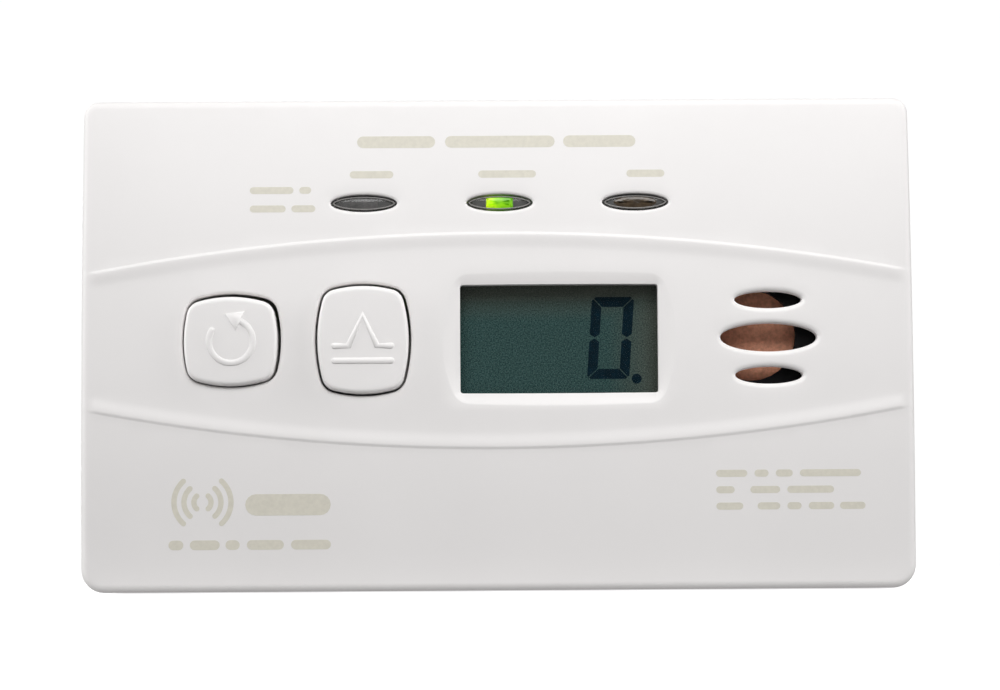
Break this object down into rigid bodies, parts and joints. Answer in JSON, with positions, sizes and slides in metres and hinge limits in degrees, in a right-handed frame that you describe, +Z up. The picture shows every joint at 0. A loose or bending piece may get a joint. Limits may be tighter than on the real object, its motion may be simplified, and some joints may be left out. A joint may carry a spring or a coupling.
{
  "type": "carbon monoxide detector",
  "caption": "Battery-powered carbon monoxide alarm with a bowed white case, display window, test and peak-level buttons, status lights and sounder vents.",
  "frame": {"origin": "centre of the footprint that the alarm stands on", "axes": "+Z up, the display and buttons face -Y, +X to the right seen from the front"},
  "size_m": [0.118, 0.04, 0.07],
  "materials": {
    "case_white": "fine satin moulded ABS, warm white",
    "button_white": "smooth satin moulded ABS",
    "black_plastic": "moulded black plastic",
    "clear_acrylic": "clear acrylic sheet, polished",
    "display_glass": "unlit liquid crystal panel, grey-green",
    "contact_rubber": "zebra elastomer connector",
    "smoked_lens": "smoke-tinted clear moulding",
    "red_led": "tinted epoxy",
    "green_led": "tinted epoxy, lit",
    "amber_led": "tinted epoxy",
    "diaphragm_brass": "dull, browned brass disc",
    "piezo_ceramic": "fired ceramic with a silvered face",
    "sensor_body": "off-white polycarbonate",
    "nickel_plate": "nickel-plated steel",
    "circuit_board": "green solder mask on glass-fibre board",
    "capacitor_sleeve": "shrink sleeve",
    "cell_sleeve": "printed shrink sleeve over a steel can",
    "label_film": "silver polyester label, blank",
    "slider_red": "moulded red plastic",
    "screw_steel": "zinc-plated self-tapping screw"
  },
  "bodies": {
    "alarm_case": {"front_cover": "case_white", "rear_housing": "case_white", "test_switch_body": "black_plastic", "peak_switch_body": "black_plastic", "display_window": "clear_acrylic", "lcd_panel": "display_glass", "lcd_frame": "case_white", "lcd_contact_strip_upper": "contact_rubber", "lcd_contact_strip_lower": "contact_rubber", "alarm_lens": "smoked_lens", "operate_lens": "smoked_lens", "fault_lens": "smoked_lens", "alarm_led": "red_led", "operate_led": "green_led", "fault_led": "amber_led", "horn_housing": "black_plastic", "horn_clamp_ring": "black_plastic", "piezo_diaphragm": "diaphragm_brass", "piezo_ceramic": "piezo_ceramic", "co_sensor_cell": "sensor_body", "co_sensor_cap": "nickel_plate", "circuit_board": "circuit_board", "microcontroller": "black_plastic", "sensor_amplifier": "black_plastic", "reservoir_capacitor": "capacitor_sleeve", "horn_boost_coil": "black_plastic", "timing_crystal": "nickel_plate", "lithium_cell_1": "cell_sleeve", "lithium_cell_2": "cell_sleeve", "battery_strip_positive": "nickel_plate", "battery_strip_negative": "nickel_plate", "rating_label": "label_film", "power_switch_body": "nickel_plate", "case_screw_1": "screw_steel", "case_screw_2": "screw_steel", "case_screw_3": "screw_steel", "case_screw_4": "screw_steel", "board_screw_1": "screw_steel", "board_screw_2": "screw_steel"},
    "test_key": {"test_button": "button_white"},
    "peak_key": {"peak_button": "button_white"},
    "test_contact": {"test_switch_plunger": "black_plastic"},
    "peak_contact": {"peak_switch_plunger": "black_plastic"},
    "slider": {"activation_slider": "slider_red"},
    "power_lever": {"power_switch_lever": "black_plastic"}
  },
  "joints": [
    {"name": "test_press", "type": "slide", "parent": "alarm_case", "child": "test_key", "axis": [0, 1, 0], "range_m": [0, 0.0008], "stiffness_N_per_m": 1800},
    {"name": "test_contact_press", "type": "slide", "parent": "alarm_case", "child": "test_contact", "axis": [0, 1, 0], "range_m": [0, 0.0008], "stiffness_N_per_m": 200},
    {"name": "peak_press", "type": "slide", "parent": "alarm_case", "child": "peak_key", "axis": [0, 1, 0], "range_m": [0, 0.0008], "stiffness_N_per_m": 1800},
    {"name": "peak_contact_press", "type": "slide", "parent": "alarm_case", "child": "peak_contact", "axis": [0, 1, 0], "range_m": [0, 0.0008], "stiffness_N_per_m": 200},
    {"name": "activate_slide", "type": "slide", "parent": "alarm_case", "child": "slider", "axis": [1, 0, 0], "range_m": [0, 0.004]},
    {"name": "power_lever_slide", "type": "slide", "parent": "alarm_case", "child": "power_lever", "axis": [1, 0, 0], "range_m": [0, 0.004]}
  ],
  "couplings": [
    {"joint": "test_contact_press", "follows": "test_press", "ratio": 1},
    {"joint": "peak_contact_press", "follows": "peak_press", "ratio": 1},
    {"joint": "power_lever_slide", "follows": "activate_slide", "ratio": 1}
  ]
}
